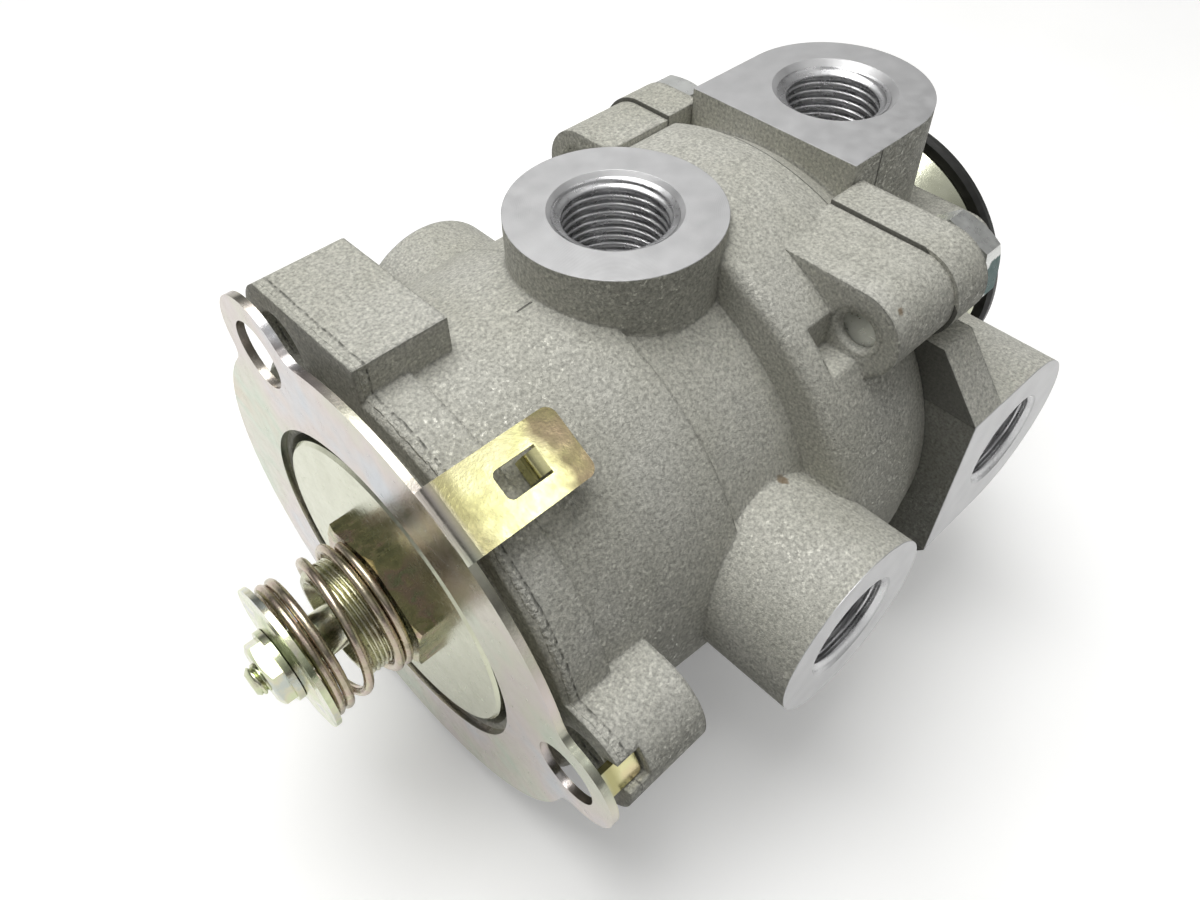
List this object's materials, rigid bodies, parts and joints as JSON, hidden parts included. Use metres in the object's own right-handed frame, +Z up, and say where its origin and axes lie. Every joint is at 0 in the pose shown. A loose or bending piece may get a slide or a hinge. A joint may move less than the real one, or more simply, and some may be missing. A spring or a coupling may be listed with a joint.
{
  "type": "dual-circuit foot brake valve",
  "caption": "Dual-circuit air-brake foot valve: cast two-piece body with threaded ports, eared mounting plate, sprung pedal stem and rubber exhaust diaphragm.",
  "frame": {"origin": "centre of the mounting plate's hole circle, in the plate's front face", "axes": "+X along the valve's axis, from the pedal end to the exhaust end; +Z up through the two upper ports; -Y holds the right-hand ports"},
  "size_m": [0.1468, 0.1027, 0.0883],
  "materials": {
    "cast_body": "blasted casting",
    "yellow_zinc": "yellow zinc plate",
    "pale_zinc": "pale zinc plate",
    "spring_steel": "zinc-plated wire",
    "screw_steel": "bright zinc plate",
    "machined_aluminium": "turned",
    "black_rubber": "moulded",
    "brass_valve": "turned"
  },
  "bodies": {
    "housing": {"retaining_plate": "yellow_zinc", "upper_body": "cast_body", "lower_body": "cast_body", "joint_seal": "black_rubber", "joint_screws": "screw_steel", "screw_washers": "screw_steel", "piston_return_spring": "spring_steel", "primary_valve_spring": "spring_steel", "primary_retainer": "machined_aluminium", "primary_retainer_seal": "black_rubber", "primary_retaining_ring": "spring_steel", "relay_spring": "spring_steel", "secondary_valve_spring": "spring_steel", "secondary_retainer": "machined_aluminium", "secondary_retainer_seal": "black_rubber", "secondary_retaining_ring": "spring_steel", "exhaust_cover": "yellow_zinc", "exhaust_diaphragm": "black_rubber", "exhaust_washer": "screw_steel", "exhaust_screw": "screw_steel"},
    "pedal_seat": {"seat_disc": "pale_zinc", "threaded_barrel": "yellow_zinc", "adjusting_nut": "yellow_zinc"},
    "primary_piston": {"primary_piston": "machined_aluminium", "primary_piston_seal": "black_rubber", "rubber_spring": "black_rubber"},
    "primary_valve": {"primary_valve_head": "black_rubber", "primary_valve_tube": "brass_valve"},
    "relay": {"relay_piston": "machined_aluminium", "relay_piston_seal": "black_rubber", "stem": "screw_steel", "stem_spring": "spring_steel", "stem_spring_washer": "yellow_zinc", "stem_lock_nut": "screw_steel"},
    "secondary_valve": {"secondary_valve_head": "black_rubber", "secondary_valve_tube": "brass_valve"}
  },
  "joints": [
    {"name": "pedal_slide", "type": "slide", "parent": "housing", "child": "pedal_seat", "axis": [1, 0, 0], "range_m": [0, 0.008], "stiffness_N_per_m": 4000, "springref_m": -0.004, "deforming": ["rubber_spring", "stem_spring"]},
    {"name": "primary_piston_slide", "type": "slide", "parent": "housing", "child": "primary_piston", "axis": [1, 0, 0], "range_m": [0, 0.005], "deforming": ["piston_return_spring"]},
    {"name": "primary_valve_slide", "type": "slide", "parent": "housing", "child": "primary_valve", "axis": [1, 0, 0], "range_m": [0, 0.003], "deforming": ["primary_valve_spring"]},
    {"name": "relay_slide", "type": "slide", "parent": "housing", "child": "relay", "axis": [1, 0, 0], "range_m": [0, 0.004], "deforming": ["relay_spring"]},
    {"name": "secondary_valve_slide", "type": "slide", "parent": "housing", "child": "secondary_valve", "axis": [1, 0, 0], "range_m": [0, 0.0023], "deforming": ["secondary_valve_spring"]}
  ],
  "couplings": [
    {"joint": "primary_piston_slide", "follows": "pedal_slide", "ratio": 0.625},
    {"joint": "primary_valve_slide", "follows": "pedal_slide", "ratio": 0.375},
    {"joint": "relay_slide", "follows": "pedal_slide", "ratio": 0.5},
    {"joint": "secondary_valve_slide", "follows": "pedal_slide", "ratio": 0.2875}
  ]
}
